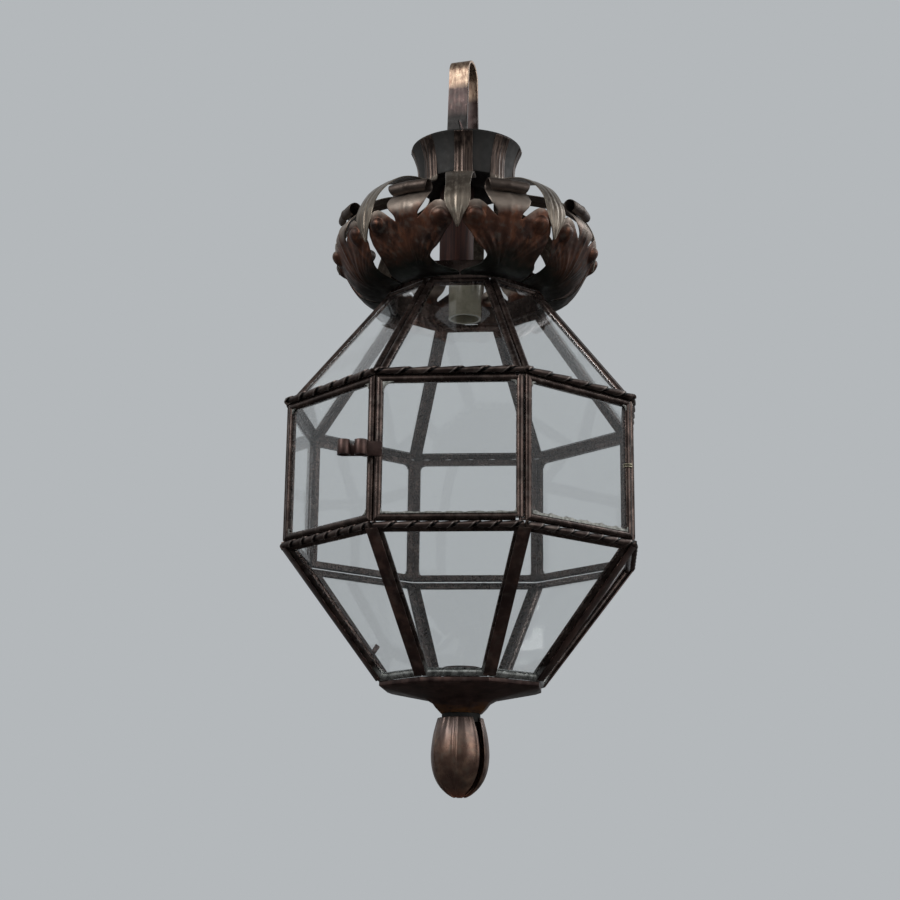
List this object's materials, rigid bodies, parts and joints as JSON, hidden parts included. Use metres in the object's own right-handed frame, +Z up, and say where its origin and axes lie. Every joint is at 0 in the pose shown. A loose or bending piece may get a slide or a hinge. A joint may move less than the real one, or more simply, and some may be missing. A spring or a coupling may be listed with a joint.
{
  "type": "hall lantern",
  "caption": "Octagonal glazed hanging lantern in aged copper with a beaded frame, hinged door, acanthus leaf crown, hanging loop, trumpet tray and bud finial.",
  "frame": {"origin": "the point on the underside of the hanging loop's arch where the hook carries it", "axes": "+Z up, away from the lantern; -Y towards the front panel, which is the door"},
  "size_m": [0.3274, 0.3359, 0.7326],
  "materials": {
    "aged_copper": "aged, brown patina",
    "grey_copper": "aged, worn grey-brown",
    "dark_copper": "dark patina",
    "beaded_brass": "aged, soldered beaded strip",
    "brown_lacquer": "dark red-brown lacquer, satin",
    "cream_ceramic": "cream glaze",
    "iron_wire": "dark drawn wire",
    "clear_glass": "clear old window glass"
  },
  "bodies": {
    "lantern": {"hanging_loop": "aged_copper", "top_collar": "dark_copper", "cover_tube": "brown_lacquer", "lampholder": "cream_ceramic", "neck_band": "beaded_brass", "crown_ribbon_1": "grey_copper", "crown_ribbon_2": "grey_copper", "crown_ribbon_3": "grey_copper", "crown_ribbon_4": "grey_copper", "crown_ribbon_5": "grey_copper", "crown_ribbon_6": "grey_copper", "crown_ribbon_7": "grey_copper", "crown_ribbon_8": "grey_copper", "crown_leaf_1": "aged_copper", "crown_leaf_2": "aged_copper", "crown_leaf_3": "aged_copper", "crown_leaf_4": "aged_copper", "crown_leaf_5": "aged_copper", "crown_leaf_6": "aged_copper", "crown_leaf_7": "aged_copper", "crown_leaf_8": "aged_copper", "roof_frame_1": "beaded_brass", "roof_frame_2": "beaded_brass", "roof_frame_3": "beaded_brass", "roof_frame_4": "beaded_brass", "roof_frame_5": "beaded_brass", "roof_frame_6": "beaded_brass", "roof_frame_7": "beaded_brass", "roof_frame_8": "beaded_brass", "belt_frame_2": "beaded_brass", "belt_frame_3": "beaded_brass", "belt_frame_4": "beaded_brass", "belt_frame_5": "beaded_brass", "belt_frame_6": "beaded_brass", "belt_frame_7": "beaded_brass", "belt_frame_8": "beaded_brass", "lower_frame_1": "beaded_brass", "lower_frame_2": "beaded_brass", "lower_frame_3": "beaded_brass", "lower_frame_4": "beaded_brass", "lower_frame_5": "beaded_brass", "lower_frame_6": "beaded_brass", "lower_frame_7": "beaded_brass", "lower_frame_8": "beaded_brass", "roof_glass": "clear_glass", "belt_glass": "clear_glass", "lower_glass": "clear_glass", "top_rope": "dark_copper", "bottom_rope": "dark_copper", "pivot_wire": "iron_wire", "tray": "beaded_brass", "candle_cup": "aged_copper", "finial_ring": "dark_copper", "finial_petal_1": "aged_copper", "finial_petal_2": "aged_copper", "finial_petal_3": "aged_copper", "finial_petal_4": "aged_copper"},
    "door": {"door_frame": "beaded_brass", "door_glass": "clear_glass", "door_catch": "aged_copper"}
  },
  "joints": [
    {"name": "door_hinge", "type": "hinge", "parent": "lantern", "child": "door", "pos_m": [0.0611, -0.15706, -0.43975], "axis": [0, 0, 1], "range_deg": [0, 110]}
  ]
}
